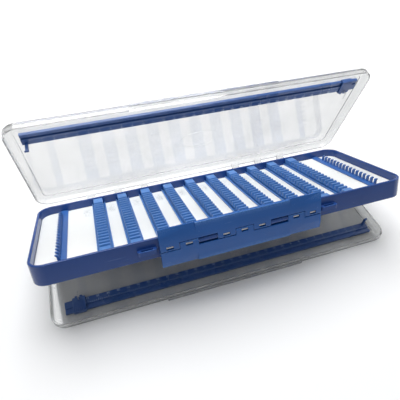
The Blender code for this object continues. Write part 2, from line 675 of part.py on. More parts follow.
for side, level in ((1, "upper"), (-1, "lower")):
    for group in GROUP_CENTRES:
        hand = "right" if side * group > 0 else "left"
        part(f"{level}_hinge_pin_{hand}", hinge_pin_mesh(side * group), steel, tray_centre,
             location=(0.0, HINGE_Y, side * (HALF_HEIGHT - HINGE_DROP)))

for owner, side, level in (("U", 1, "upper"), ("L", -1, "lower")):
    latch_pivot = pivot(f"{level}_latch_pivot", (0.0, LATCH_PIN_Y, 0.0), 0.0, tray_centre)
    part(f"{level}_latch", latch_mesh(owner, side), blue, latch_pivot, location=(0.0, -LATCH_PIN_Y, 0.0))
part("latch_pin", latch_pin_mesh(), steel, tray_centre)
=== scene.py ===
import json
import math

import bmesh
import bpy
from mathutils import Matrix, Vector


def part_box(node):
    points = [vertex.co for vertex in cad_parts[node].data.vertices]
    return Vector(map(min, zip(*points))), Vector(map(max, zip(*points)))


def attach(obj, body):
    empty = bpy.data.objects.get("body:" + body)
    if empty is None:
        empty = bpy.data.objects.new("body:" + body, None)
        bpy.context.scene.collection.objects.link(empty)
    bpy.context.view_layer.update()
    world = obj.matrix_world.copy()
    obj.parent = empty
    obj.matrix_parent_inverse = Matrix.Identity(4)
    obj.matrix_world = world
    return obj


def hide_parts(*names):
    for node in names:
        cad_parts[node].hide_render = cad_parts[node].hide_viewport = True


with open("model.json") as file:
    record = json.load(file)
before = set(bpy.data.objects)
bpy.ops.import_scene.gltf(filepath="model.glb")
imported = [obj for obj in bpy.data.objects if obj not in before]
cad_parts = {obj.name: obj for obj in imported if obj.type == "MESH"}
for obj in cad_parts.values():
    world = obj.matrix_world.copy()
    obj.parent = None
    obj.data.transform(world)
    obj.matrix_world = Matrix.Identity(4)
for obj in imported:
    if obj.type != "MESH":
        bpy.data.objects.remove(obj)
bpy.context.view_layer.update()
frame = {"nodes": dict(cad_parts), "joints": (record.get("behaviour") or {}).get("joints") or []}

MM = 0.001

# --- Camera, floor and studio light --------------------------------------------------
# The box is seen from its front left, from above and close to it, on a plain pale floor.
# A large soft lamp hangs over it, with weaker ones to the left and the right.

CAMERA_PLACE = Vector((-0.1079, -0.2337, 0.3435))
CAMERA_FORWARD = Vector((0.2305, 0.6252, -0.7456))
CAMERA_RIGHT = Vector((0.9492, -0.3131, 0.0309))
CAMERA_LENS = 33.8
FLOOR_SIZE = 6.0
FLOOR_DROP = 0.2 * MM
LAMPS_AIM = (0.0, 0.0, 0.05)
WORLD_STRENGTH = 0.36
LAMPS = (
    # name, place, size, watts
    ("overhead_lamp", (-0.05, 0.55, 1.25), 1.0, 18.0),
    ("left_lamp", (-1.1, -0.5, 0.9), 0.8, 1.6),
    ("right_lamp", (1.3, 0.3, 0.7), 0.7, 4.0),
)


def aim(place, target):
    return (Vector(target) - Vector(place)).to_track_quat("-Z", "Y").to_euler()


camera_data = bpy.data.cameras.new("camera")
camera_data.sensor_width = 36.0
camera_data.lens = CAMERA_LENS
camera_data.clip_start = 0.01
camera = bpy.data.objects.new("camera", camera_data)
right = CAMERA_RIGHT.normalized()
back = -(CAMERA_FORWARD - right * CAMERA_FORWARD.dot(right)).normalized()
turned = Matrix((right, back.cross(right), back)).transposed().to_4x4()
camera.matrix_world = Matrix.Translation(CAMERA_PLACE) @ turned
bpy.context.scene.collection.objects.link(camera)
bpy.context.scene.camera = camera

for name, place, size, watts in LAMPS:
    lamp_data = bpy.data.lights.new(name, "AREA")
    lamp_data.size = size
    lamp_data.energy = watts
    lamp = bpy.data.objects.new(name, lamp_data)
    lamp.location = place
    lamp.rotation_euler = aim(place, LAMPS_AIM)
    bpy.context.scene.collection.objects.link(lamp)

world = bpy.data.worlds.new("studio")
world.use_nodes = True
world.node_tree.nodes["Background"].inputs["Color"].default_value = (0.95, 0.97, 1.0, 1.0)
world.node_tree.nodes["Background"].inputs["Strength"].default_value = WORLD_STRENGTH
bpy.context.scene.world = world
bpy.context.scene.view_settings.view_transform = "Standard"


def floor_material():
    """Plain matt white paper."""
    made = bpy.data.materials.new("pale_floor")
    made.use_nodes = True
    shader = made.node_tree.nodes["Principled BSDF"]
    shader.inputs["Base Color"].default_value = (0.92, 0.92, 0.92, 1.0)
    shader.inputs["Roughness"].default_value = 0.8
    shader.inputs["Specular IOR Level"].default_value = 0.2
    return made


form = bmesh.new()
bmesh.ops.create_grid(form, x_segments=1, y_segments=1, size=FLOOR_SIZE / 2)
floor_mesh = bpy.data.meshes.new("studio_floor")
form.to_mesh(floor_mesh)
form.free()
floor_mesh.transform(Matrix.Translation((0.0, 0.0, -FLOOR_DROP)))
floor_mesh.materials.append(floor_material())
studio_floor = bpy.data.objects.new("studio_floor", floor_mesh)
bpy.context.scene.collection.objects.link(studio_floor)

# --- Tray frame ------------------------------------------------------------------------
# One glossy blue moulding: a rounded ring of wall with hinge lugs along the rear on both
# faces, two knuckles for the latch pin and two flat strap loops at the front. Everything
# on the tray is drawn level about the tray's middle and then tipped up on the rear hinge.

joints = {joint["name"]: joint for joint in frame["joints"]}
TRAY_HINGE = Vector(joints["tray_hinge"]["pos_m"])
LID_HINGE = Vector(joints["upper_lid_hinge"]["pos_m"])
TRAY_OPEN = -math.radians(joints["tray_hinge"]["range_deg"][0])
LID_OPEN = -math.radians(joints["upper_lid_hinge"]["range_deg"][0])
HINGE_DROP = 4.6 * MM
HALF_HEIGHT = (LID_HINGE - TRAY_HINGE).length / 2 + HINGE_DROP
HINGE_Y = TRAY_HINGE.y
TRAY = (Matrix.Translation(TRAY_HINGE) @ Matrix.Rotation(-TRAY_OPEN, 4, "X")
        @ Matrix.Translation((0.0, -HINGE_Y, HALF_HEIGHT - HINGE_DROP)))
TURNED_OVER = Matrix.Rotation(math.pi, 4, "Y")


def node_box(node, placing):
    """Lowest and highest corner of a CAD node in the frame that placing puts in place."""
    back_again = placing.inverted()
    corners = [back_again @ vertex.co for vertex in frame["nodes"][node].data.vertices]
    return (Vector([min(c[i] for c in corners) for i in range(3)]),
            Vector([max(c[i] for c in corners) for i in range(3)]))


TRAY_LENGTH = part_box("tray_frame")[1].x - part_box("tray_frame")[0].x
BARREL_RADIUS = 2.4 * MM
BARREL_CLEARANCE = 0.5 * MM
TRAY_WIDTH = 2 * (HINGE_Y - BARREL_RADIUS - BARREL_CLEARANCE)
WALL = 2.8 * MM
TRAY_CORNER = 14 * MM
RIM_FILLET = 0.9 * MM
WALL_DRAFT = 0.15 * MM
WELD_DISTANCE = 0.001 * MM
BEVEL_ANGLE = 40
SMOOTH_ANGLE = 35
ROUND_SIDES = 28


def evaluated(source):
    bpy.context.view_layer.update()
    graph = bpy.context.evaluated_depsgraph_get()
    return bpy.data.meshes.new_from_object(source.evaluated_get(graph), depsgraph=graph)


def held(data):
    """A passing object that holds a mesh, a curve or a text."""
    holder = bpy.data.objects.new("holder", data)
    bpy.context.scene.collection.objects.link(holder)
    return holder


def taken(holder):
    """The mesh that a passing object shows. The object itself is removed."""
    result = evaluated(holder)
    bpy.data.objects.remove(holder, do_unlink=True)
    return result


def with_modifier(mesh, kind, **settings):
    """The mesh that one modifier makes of another mesh."""
    holder = held(mesh)
    modifier = holder.modifiers.new(kind.title(), kind)
    for setting, value in settings.items():
        setattr(modifier, setting, value)
    return taken(holder)


def joined(meshes):
    form = bmesh.new()
    for mesh in meshes:
        form.from_mesh(mesh)
    result = bpy.data.meshes.new("joined")
    form.to_mesh(result)
    form.free()
    return result


def boolean(mesh, operation, tools):
    tool = held(joined(tools))
    result = with_modifier(mesh, "BOOLEAN", operation=operation, object=tool, solver="EXACT")
    bpy.data.objects.remove(tool, do_unlink=True)
    return result


def rounded(mesh, width, segments=2, angle=BEVEL_ANGLE):
    return with_modifier(mesh, "BEVEL", width=width, segments=segments, limit_method="ANGLE",
                         angle_limit=math.radians(angle), harden_normals=False)


def arc(centre, radius, start, end, steps):
    return [(centre[0] + radius * math.cos(math.radians(start + (end - start) * i / steps)),
             centre[1] + radius * math.sin(math.radians(start + (end - start) * i / steps)))
            for i in range(steps + 1)]


def circle(centre, radius, sides):
    return arc(centre, radius, 0, 360 * (sides - 1) / sides, sides - 1)


PULL = {
    "X": Matrix(((0, 0, 1, 0), (1, 0, 0, 0), (0, 1, 0, 0), (0, 0, 0, 1))),
    "Y": Matrix(((1, 0, 0, 0), (0, 0, 1, 0), (0, 1, 0, 0), (0, 0, 0, 1))),
    "Z": Matrix.Identity(4),
}


def pulled(loops, axis, start, end):
    """A filled flat outline, with any further loops as holes, pulled from start to end."""
    curve = bpy.data.curves.new("outline", "CURVE")
    curve.dimensions = "2D"
    curve.fill_mode = "BOTH"
    curve.extrude = (end - start) / 2
    for loop in loops:
        spline = curve.splines.new("POLY")
        spline.points.add(len(loop) - 1)
        for point, (across, up) in zip(spline.points, loop):
            point.co = (across, up, 0, 1)
        spline.use_cyclic_u = True
    mesh = taken(held(curve))
    mesh.transform(PULL[axis] @ Matrix.Translation((0, 0, (start + end) / 2)))
    form = bmesh.new()
    form.from_mesh(mesh)
    bmesh.ops.remove_doubles(form, verts=form.verts, dist=WELD_DISTANCE)
    bmesh.ops.recalc_face_normals(form, faces=form.faces)
    if form.calc_volume(signed=True) < 0:
        bmesh.ops.reverse_faces(form, faces=form.faces)
    form.to_mesh(mesh)
    form.free()
    return mesh


def block(low, high, fillet=0.0, segments=2):
    form = bmesh.new()
    bmesh.ops.create_cube(form, size=1.0)
    bmesh.ops.scale(form, vec=[b - a for a, b in zip(low, high)], verts=form.verts)
    bmesh.ops.translate(form, vec=[(a + b) / 2 for a, b in zip(low, high)], verts=form.verts)
    mesh = bpy.data.meshes.new("block")
    form.to_mesh(mesh)
    form.free()
    return rounded(mesh, fillet, segments) if fillet else mesh


def swept(profile, length, width, radius, centre=(0.0, 0.0), steps=14, ring=True):
    """A wall that follows a rounded rectangle. profile holds (inset, height) pairs, and its
    two ends are filled flat where it isn't a ring."""
    form = bmesh.new()
    rows = []
    for inset, height in profile:
        row = []
        for quarter, (right, up) in enumerate(((1, 1), (-1, 1), (-1, -1), (1, -1))):
            corner = (centre[0] + right * (length / 2 - radius), centre[1] + up * (width / 2 - radius))
            for x, y in arc(corner, radius - inset, 90 * quarter, 90 * quarter + 90, steps):
                row.append(form.verts.new((x, y, height)))
        rows.append(row)
    pairs = list(zip(rows, rows[1:] + rows[:1])) if ring else list(zip(rows, rows[1:]))
    for row, following in pairs:
        for i in range(len(row)):
            j = (i + 1) % len(row)
            form.faces.new((row[i], row[j], following[j], following[i]))
    if not ring:
        form.faces.new(rows[0])
        form.faces.new(rows[-1])
    bmesh.ops.recalc_face_normals(form, faces=form.faces)
    mesh = bpy.data.meshes.new("swept")
    form.to_mesh(mesh)
    form.free()
    return mesh


def repeat_tree(name):
    """Geometry Nodes: copies of the mesh in a straight row, made real and given a finish."""
    tree = bpy.data.node_groups.new(name, "GeometryNodeTree")
    sockets = tree.interface
    sockets.new_socket("Geometry", in_out="INPUT", socket_type="NodeSocketGeometry")
    sockets.new_socket("Count", in_out="INPUT", socket_type="NodeSocketInt")
    sockets.new_socket("Step", in_out="INPUT", socket_type="NodeSocketVector")
    sockets.new_socket("Finish", in_out="INPUT", socket_type="NodeSocketMaterial")
    sockets.new_socket("Geometry", in_out="OUTPUT", socket_type="NodeSocketGeometry")
    start = tree.nodes.new("NodeGroupInput")
    line = tree.nodes.new("GeometryNodeMeshLine")
    copies = tree.nodes.new("GeometryNodeInstanceOnPoints")
    real = tree.nodes.new("GeometryNodeRealizeInstances")
    finish = tree.nodes.new("GeometryNodeSetMaterial")
    end = tree.nodes.new("NodeGroupOutput")
    link = tree.links.new
    link(start.outputs["Count"], line.inputs["Count"])
    link(start.outputs["Step"], line.inputs["Offset"])
    link(line.outputs["Mesh"], copies.inputs["Points"])
    link(start.outputs["Geometry"], copies.inputs["Instance"])
    link(copies.outputs["Instances"], real.inputs["Geometry"])
    link(real.outputs["Geometry"], finish.inputs["Geometry"])
    link(start.outputs["Finish"], finish.inputs["Material"])
    link(finish.outputs["Geometry"], end.inputs["Geometry"])
    return tree


ROW_TREE = repeat_tree("row_of_copies")


def row_of(mesh, count, step, finish):
    """count copies of a mesh, centred on the mesh's own place, step apart."""
    holder = held(mesh)
    modifier = holder.modifiers.new("Row", "NODES")
    modifier.node_group = ROW_TREE
    identifiers = {item.name: item.identifier for item in ROW_TREE.interface.items_tree
                   if item.in_out == "INPUT"}
    modifier[identifiers["Count"]] = count
    modifier[identifiers["Step"]] = step
    modifier[identifiers["Finish"]] = finish
    result = taken(holder)
    result.transform(Matrix.Translation(-Vector(step) * (count - 1) / 2))
    return result


def noise(tree, position, scale, detail=2.0):
    node = tree.nodes.new("ShaderNodeTexNoise")
    node.inputs["Scale"].default_value = scale
    node.inputs["Detail"].default_value = detail
    tree.links.new(position, node.inputs["Vector"])
    return node.outputs["Fac"]


def ramp(tree, value, low, high, to_low=0.0, to_high=1.0):
    node = tree.nodes.new("ShaderNodeMapRange")
    node.inputs["From Min"].default_value = low
    node.inputs["From Max"].default_value = high
    node.inputs["To Min"].default_value = to_low
    node.inputs["To Max"].default_value = to_high
    tree.links.new(value, node.inputs["Value"])
    return node.outputs["Result"]


def maths(tree, operation, *values):
    node = tree.nodes.new("ShaderNodeMath")
    node.operation = operation
    for socket, value in zip(node.inputs, values):
        if isinstance(value, (int, float)):
            socket.default_value = value
        else:
            tree.links.new(value, socket)
    return node.outputs["Value"]


def blended(tree, factor, first, second):
    node = tree.nodes.new("ShaderNodeMix")
    node.data_type = "RGBA"
    tree.links.new(factor, node.inputs["Factor"])
    for socket, value in ((node.inputs[6], first), (node.inputs[7], second)):
        if isinstance(value, tuple):
            socket.default_value = (*value, 1.0)
        else:
            tree.links.new(value, socket)
    return node.outputs[2]


def stretched(tree, position, scale, turn=(0.0, 0.0, 0.0)):
    node = tree.nodes.new("ShaderNodeMapping")
    node.inputs["Scale"].default_value = scale
    node.inputs["Rotation"].default_value = turn
    tree.links.new(position, node.inputs["Vector"])
    return node.outputs["Vector"]


def bumped(tree, shader, height, strength, distance):
    """Raises the surface of a shader by a height that changes over it."""
    raised = tree.nodes.new("ShaderNodeBump")
    raised.inputs["Strength"].default_value = strength
    raised.inputs["Distance"].default_value = distance
    tree.links.new(height, raised.inputs["Height"])
    tree.links.new(raised.outputs["Normal"], shader.inputs["Normal"])


def moulded_group():
    """Surface of moulded plastic: faint flow clouds, hairline scratches, worn edges and a
    fine ripple. It gives a colour, a roughness and a height."""
    tree = bpy.data.node_groups.new("moulded_surface", "ShaderNodeTree")
    sockets = tree.interface
    for name, kind in (("Colour", "NodeSocketColor"), ("Worn Colour", "NodeSocketColor"),
                       ("Roughness", "NodeSocketFloat"), ("Wear", "NodeSocketFloat"),
                       ("Scratches", "NodeSocketFloat")):
        sockets.new_socket(name, in_out="INPUT", socket_type=kind)
    for name, kind in (("Colour", "NodeSocketColor"), ("Roughness", "NodeSocketFloat"),
                       ("Height", "NodeSocketFloat")):
        sockets.new_socket(name, in_out="OUTPUT", socket_type=kind)
    start = tree.nodes.new("NodeGroupInput")
    end = tree.nodes.new("NodeGroupOutput")
    place = tree.nodes.new("ShaderNodeTexCoord").outputs["Object"]
    edges = tree.nodes.new("ShaderNodeNewGeometry").outputs["Pointiness"]
    clouds = noise(tree, place, 22.0, 3.0)
    ripple = noise(tree, place, 420.0, 2.0)
    grit = noise(tree, place, 900.0, 4.0)
    hairs = noise(tree, stretched(tree, place, (35.0, 900.0, 900.0), (0.0, 0.12, 0.2)), 1.0, 3.0)
    other_hairs = noise(tree, stretched(tree, place, (700.0, 45.0, 700.0), (0.2, 0.0, 0.3)), 1.0, 3.0)
    hair = maths(tree, "MAXIMUM", ramp(tree, hairs, 0.69, 0.76), ramp(tree, other_hairs, 0.70, 0.77))
    hair = maths(tree, "MULTIPLY", hair, start.outputs["Scratches"])
    worn = maths(tree, "MULTIPLY", ramp(tree, edges, 0.53, 0.62), ramp(tree, grit, 0.35, 0.6))
    worn = maths(tree, "MULTIPLY", worn, start.outputs["Wear"])
    shade = ramp(tree, clouds, 0.3, 0.7, 0.93, 1.06)
    toned = tree.nodes.new("ShaderNodeVectorMath")
    toned.operation = "SCALE"
    tree.links.new(start.outputs["Colour"], toned.inputs[0])
    tree.links.new(shade, toned.inputs["Scale"])
    pale = maths(tree, "ADD", worn, maths(tree, "MULTIPLY", hair, 0.35))
    colour = blended(tree, pale, toned.outputs[0], start.outputs["Worn Colour"])
    rough = maths(tree, "ADD", start.outputs["Roughness"], ramp(tree, clouds, 0.3, 0.7, -0.03, 0.05))
    rough = maths(tree, "ADD", rough, maths(tree, "MULTIPLY", hair, 0.25))
    height = maths(tree, "SUBTRACT", maths(tree, "MULTIPLY", ripple, 0.5),
                   maths(tree, "MULTIPLY", hair, 0.4))
    tree.links.new(colour, end.inputs["Colour"])
    tree.links.new(rough, end.inputs["Roughness"])
    tree.links.new(height, end.inputs["Height"])
    return tree


MOULDED = moulded_group()


def moulded_material(name, colour, worn_colour, roughness, wear, scratches, bump, coat=0.0):
    made = bpy.data.materials.new(name)
    made.use_nodes = True
    tree = made.node_tree
    shader = tree.nodes["Principled BSDF"]
    surface = tree.nodes.new("ShaderNodeGroup")
    surface.node_tree = MOULDED
    surface.inputs["Colour"].default_value = (*colour, 1.0)
    surface.inputs["Worn Colour"].default_value = (*worn_colour, 1.0)
    surface.inputs["Roughness"].default_value = roughness
    surface.inputs["Wear"].default_value = wear
    surface.inputs["Scratches"].default_value = scratches
    tree.links.new(surface.outputs["Colour"], shader.inputs["Base Color"])
    tree.links.new(surface.outputs["Roughness"], shader.inputs["Roughness"])
    bumped(tree, shader, surface.outputs["Height"], bump, 0.1 * MM)
    shader.inputs["Coat Weight"].default_value = coat
    shader.inputs["Coat Roughness"].default_value = 0.12
    return made


TRAY_BLUE = moulded_material("tray_blue", (0.015, 0.055, 0.225), (0.12, 0.26, 0.60),
                             0.17, 0.55, 0.5, 0.2)


def finished(name, mesh, placing, finish, body, slot, *nodes):
    """Puts a mesh in place as a piece of the object, in the stead of its CAD nodes."""
    mesh.transform(placing)
    mesh.materials.clear()
    mesh.materials.append(finish)
    mesh.shade_smooth()
    mesh.set_sharp_from_angle(angle=math.radians(SMOOTH_ANGLE))
    smooth = with_modifier(mesh, "WEIGHTED_NORMAL", mode="FACE_AREA", keep_sharp=True)
    piece = bpy.data.objects.new(name, smooth)
    bpy.context.scene.collection.objects.link(piece)
    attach(piece, body)
    if nodes:
        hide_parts(*nodes)
    return piece


def wall_profile(half_height, wall, fillet, draft):
    """Section of the ring of wall, as (inset, height): up the outside and down the inside."""
    top = half_height - fillet
    outside_top = arc((fillet, top), fillet, 180, 90, 4)
    inside_top = arc((wall - draft - fillet, top), fillet, 90, 0, 4)
    upper = outside_top + inside_top
    lower = [(inset, -height) for inset, height in reversed(upper)]
    return upper + [(wall, 0.0)] + lower + [(0.0, 0.0)]


HINGE_PIN_RADIUS = 1.0 * MM
PIN_CLEARANCE = 0.15 * MM
LUG_LENGTH = 3 * MM
KNUCKLE_LENGTH = 9 * MM
HINGE_GAP = 0.4 * MM
STATION_PITCH = 30.7 * MM
STATIONS = 3
GROUPS = (-95.5 * MM, 81.0 * MM)
EDGE_FILLET = 0.25 * MM


def hinge_bore(centre):
    return circle(centre, HINGE_PIN_RADIUS + PIN_CLEARANCE, ROUND_SIDES)


def hinge_lugs(side):
    """The tray's pairs of lugs for one lid: side is 1 on the upper face, -1 on the lower."""
    wall_y = TRAY_WIDTH / 2 - WALL / 3
    centre = (HINGE_Y, side * (HALF_HEIGHT - HINGE_DROP))
    barrel = arc(centre, BARREL_RADIUS, -90, 90, 20)
    outline = barrel + [(wall_y, barrel[-1][1]), (wall_y, barrel[0][1])]
    lugs = []
    for group in GROUPS:
        for end in (-1, 1):
            middle = side * group + end * ((KNUCKLE_LENGTH + LUG_LENGTH) / 2 + HINGE_GAP)
            lug = pulled([outline, hinge_bore(centre)], "X",
                         middle - LUG_LENGTH / 2, middle + LUG_LENGTH / 2)
            lug = rounded(lug, EDGE_FILLET)
            lugs.append(row_of(lug, STATIONS, (STATION_PITCH, 0.0, 0.0), TRAY_BLUE))
    return lugs


latch_low, latch_high = node_box("upper_latch", TRAY)
LATCH_START = latch_low.x
LATCH_LENGTH = latch_high.x - latch_low.x
LATCH_CENTRE = LATCH_START + LATCH_LENGTH / 2
SEGMENTS = "ULFULUFLU"
SEGMENT = LATCH_LENGTH / len(SEGMENTS)
SEGMENT_GAP = 0.4 * MM
LATCH_PIN = TRAY.inverted() @ Vector(joints["upper_latch_pivot"]["pos_m"])
LATCH_BARREL_RADIUS = 3.0 * MM
LATCH_LUG_RADIUS = 2.1 * MM
LATCH_PIN_RADIUS = 1.25 * MM
LOOP_LENGTH = 17 * MM
LOOP_REACH = 5.4 * MM
LOOP_HEIGHT = 4.0 * MM
LOOP_SLOT_LENGTH = 11 * MM
LOOP_SLOT_WIDTH = 2.4 * MM
LOOP_FROM_LATCH = 2.0 * MM
LOOP_ROUND = 0.5 * MM


def segment_span(index):
    start = LATCH_START + index * SEGMENT
    return start + SEGMENT_GAP / 2, start + SEGMENT - SEGMENT_GAP / 2


def latch_lugs():
    wall_y = -TRAY_WIDTH / 2 + WALL / 3
    top = LATCH_LUG_RADIUS
    centre = (LATCH_PIN.y, 0.0)
    outline = [(wall_y, -top), (wall_y, top)] + arc(centre, top, 90, 270, ROUND_SIDES)
    bore = circle(centre, LATCH_PIN_RADIUS + PIN_CLEARANCE, ROUND_SIDES)
    return [rounded(pulled([outline, bore], "X", *segment_span(i)), EDGE_FILLET)
            for i, owner in enumerate(SEGMENTS) if owner == "F"]


def strap_loops():
    loops = []
    wall_y = -TRAY_WIDTH / 2 + WALL / 3
    front = -TRAY_WIDTH / 2 - LOOP_REACH
    radius = LOOP_REACH / 2
    for side in (-1, 1):
        x = LATCH_CENTRE + side * (LATCH_LENGTH / 2 + LOOP_FROM_LATCH + LOOP_LENGTH / 2)
        left, right = x - LOOP_LENGTH / 2, x + LOOP_LENGTH / 2
        outline = [(right, wall_y), (left, wall_y)]
        outline += arc((left + radius, front + radius), radius, 180, 270, 10)
        outline += arc((right - radius, front + radius), radius, 270, 360, 10)
        slot_y = wall_y - (LOOP_REACH + WALL / 3) / 2 - WALL / 6
        end = LOOP_SLOT_LENGTH / 2 - LOOP_SLOT_WIDTH / 2
        slot = arc((x + end, slot_y), LOOP_SLOT_WIDTH / 2, -90, 90, 10)
        slot += arc((x - end, slot_y), LOOP_SLOT_WIDTH / 2, 90, 270, 10)
        loops.append(rounded(pulled([outline, slot], "Z", -LOOP_HEIGHT / 2, LOOP_HEIGHT / 2), LOOP_ROUND, 3))
    return loops


ring = swept(wall_profile(HALF_HEIGHT, WALL, RIM_FILLET, WALL_DRAFT),
             TRAY_LENGTH, TRAY_WIDTH, TRAY_CORNER)
fittings = hinge_lugs(1) + hinge_lugs(-1) + latch_lugs() + strap_loops()
finished("tray_shell", boolean(ring, "UNION", fittings), TRAY, TRAY_BLUE, "tray", "blue_plastic",
         "tray_frame")

# --- Floor panel -------------------------------------------------------------------------
# A white plastic sheet let into the frame at its mid-height. It is coloured a mottled darker
# grey towards the rear of the narrow bays, and small dots are moulded near the front.

BAR_COUNT = 10
BAR_PITCH = node_box("upper_bar_02", TRAY)[0].x - node_box("upper_bar_01", TRAY)[0].x
REAR_PATCH_Y = 43 * MM
REAR_PATCH_HALF_WIDTH = 5.5 * MM
REAR_PATCH_HALF_LENGTH = 12 * MM
REAR_PATCH_MIDDLE = (1.5 * MM, 4 * MM)
DOT_PLACE = (0.8 * MM, -50 * MM)
DOT_RADIUS = 0.9 * MM
DOT_MIDDLE = 0.5 * MM


def sheet_material():
    made = bpy.data.materials.new("white_sheet")
    made.use_nodes = True
    tree = made.node_tree
    shader = tree.nodes["Principled BSDF"]
    place = tree.nodes.new("ShaderNodeTexCoord").outputs["Object"]
    level = tree.nodes.new("ShaderNodeMapping")
    level.vector_type = "POINT"
    back_again = TRAY.inverted()
    level.inputs["Location"].default_value = back_again.translation
    level.inputs["Rotation"].default_value = back_again.to_euler()
    tree.links.new(place, level.inputs["Vector"])
    split = tree.nodes.new("ShaderNodeSeparateXYZ")
    tree.links.new(level.outputs["Vector"], split.inputs["Vector"])
    across, along = split.outputs["X"], split.outputs["Y"]
    cell = maths(tree, "ROUND", maths(tree, "DIVIDE", across, BAR_PITCH))
    from_bay = maths(tree, "SUBTRACT", across, maths(tree, "MULTIPLY", cell, BAR_PITCH))
    aside = maths(tree, "ABSOLUTE", from_bay)
    from_rear = maths(tree, "ABSOLUTE", maths(tree, "SUBTRACT", along, REAR_PATCH_Y))
    # Colour made darker grey, mottled by noise, near the middle of each bay towards its rear.
    near = maths(tree, "MULTIPLY", ramp(tree, aside, REAR_PATCH_HALF_WIDTH, REAR_PATCH_MIDDLE[0]),
                 ramp(tree, from_rear, REAR_PATCH_HALF_LENGTH, REAR_PATCH_MIDDLE[1]))
    mottle = ramp(tree, noise(tree, level.outputs["Vector"], 620.0, 3.0), 0.5, 0.68)
    broad_mottle = ramp(tree, noise(tree, level.outputs["Vector"], 90.0, 2.0), 0.35, 0.65)
    rear_patch = maths(tree, "MULTIPLY", near, maths(tree, "ADD", maths(tree, "MULTIPLY", mottle, 0.6),
                                                  maths(tree, "MULTIPLY", broad_mottle, 0.3)))
    dot_y = maths(tree, "ABSOLUTE", maths(tree, "SUBTRACT", along, DOT_PLACE[1]))
    dot_x = maths(tree, "ABSOLUTE", maths(tree, "SUBTRACT", from_bay, DOT_PLACE[0]))
    away = maths(tree, "SQRT", maths(tree, "ADD", maths(tree, "MULTIPLY", dot_x, dot_x),
                                     maths(tree, "MULTIPLY", dot_y, dot_y)))
    dot = maths(tree, "MULTIPLY", ramp(tree, away, DOT_RADIUS, DOT_MIDDLE), 0.5)
    marks = maths(tree, "ADD", rear_patch, dot)
    colour = blended(tree, marks, (0.84, 0.84, 0.82), (0.28, 0.28, 0.29))
    tree.links.new(colour, shader.inputs["Base Color"])
    grain = noise(tree, level.outputs["Vector"], 1500.0, 2.0)
    tree.links.new(ramp(tree, broad_mottle, 0.0, 1.0, 0.38, 0.5), shader.inputs["Roughness"])
    bumped(tree, shader, grain, 0.12, 0.1 * MM)
    return made


floor_panel = frame["nodes"]["floor_panel"]
floor_panel.data.materials.clear()
floor_panel.data.materials.append(sheet_material())

# --- Slotted bars --------------------------------------------------------------------------
# Ten blue mouldings on each face, pressed to the floor panel. Each has a smooth-sided body
# with eighteen notches across its top, on a wider foot with a bead along each edge.

bar_low, bar_high = node_box("upper_bar_01", TRAY)
BAR_LENGTH = bar_high.y - bar_low.y
BAR_BASE = bar_low.z
BAR_TOP = bar_high.z
FOOT_WIDTH = bar_high.x - bar_low.x
BAR_WIDTH = 9.8 * MM
FOOT_HEIGHT = 1.6 * MM
BEAD_WIDTH = 0.9 * MM
NOTCH_PITCH = 5.75 * MM
NOTCH_MOUTH = 3.6 * MM
NOTCH_BOTTOM = 1.9 * MM
NOTCH_DEPTH = 4.4 * MM
NOTCH_COUNT = 18
FRONT_LAND = 5.5 * MM
BAR_ROUND = 0.35 * MM
BEAD_ROUND = 0.15 * MM
FOOT_GROOVE_FLOOR = 0.4 * MM
BAR_BLUE = moulded_material("bar_blue", (0.050, 0.176, 0.470), (0.20, 0.33, 0.62),
                            0.34, 0.5, 0.3, 0.25, 0.15)
first_notch = -BAR_LENGTH / 2 + FRONT_LAND + NOTCH_PITCH / 2
NOTCH_ROW_MIDDLE = first_notch + (NOTCH_COUNT - 1) * NOTCH_PITCH / 2


def bar_mesh():
    """Smooth-sided body with a row of notches across its top, on a foot with beaded edges."""
    notch_floor = BAR_TOP - NOTCH_DEPTH
    body_foot = BAR_BASE + FOOT_HEIGHT / 3
    outline = [(-BAR_LENGTH / 2, body_foot), (BAR_LENGTH / 2, body_foot), (BAR_LENGTH / 2, BAR_TOP)]
    for i in reversed(range(NOTCH_COUNT)):
        y = first_notch + i * NOTCH_PITCH
        outline.append((y + NOTCH_MOUTH / 2, BAR_TOP))
        outline += arc((y, notch_floor + NOTCH_BOTTOM / 2), NOTCH_BOTTOM / 2, 0, -180, 4)
        outline.append((y - NOTCH_MOUTH / 2, BAR_TOP))
    outline.append((-BAR_LENGTH / 2, BAR_TOP))
    body = rounded(pulled([outline], "X", -BAR_WIDTH / 2, BAR_WIDTH / 2), BAR_ROUND, 2, 30)
    half = FOOT_WIDTH / 2
    foot_top = BAR_BASE + FOOT_HEIGHT
    bead = half - BEAD_WIDTH
    groove = BAR_BASE + FOOT_GROOVE_FLOOR
    outline = [(-half, BAR_BASE), (half, BAR_BASE), (half, foot_top), (bead, foot_top), (bead, groove),
               (-bead, groove), (-bead, foot_top), (-half, foot_top)]
    foot = rounded(pulled([outline], "Y", -BAR_LENGTH / 2, BAR_LENGTH / 2), BEAD_ROUND)
    return boolean(foot, "UNION", [body])


bar = bar_mesh()
for level, turn in (("upper", Matrix.Identity(4)), ("lower", TURNED_OVER)):
    bars = row_of(bar, BAR_COUNT, (BAR_PITCH, 0.0, 0.0), BAR_BLUE)
    finished(f"{level}_slotted_bars", bars, TRAY @ turn, BAR_BLUE, "tray", "blue_plastic",
             *[f"{level}_bar_{i:02d}" for i in range(1, BAR_COUNT + 1)])

# --- End combs -----------------------------------------------------------------------------
# A blue moulding near each end of both faces: a low strip and a row of upright posts with
# hooked tips, which stand between the rows of notches in the bars.

COMB_STRIP_LOW = 0.8 * MM
COMB_STRIP_HIGH = 1.4 * MM
COMB_POST_START = 4.4 * MM
COMB_POST_END = 7.4 * MM
COMB_POST_THICKNESS = 2.2 * MM
COMB_LEAN = 0.8 * MM
COMB_HOOK = 1.2 * MM
COMB_ROUND = 0.25 * MM
COMB_INNER = node_box("upper_comb_right", TRAY)[0].x
COMB_BLUE = moulded_material("comb_blue", (0.030, 0.113, 0.361), (0.14, 0.26, 0.55),
                             0.30, 0.4, 0.2, 0.25, 0.2)


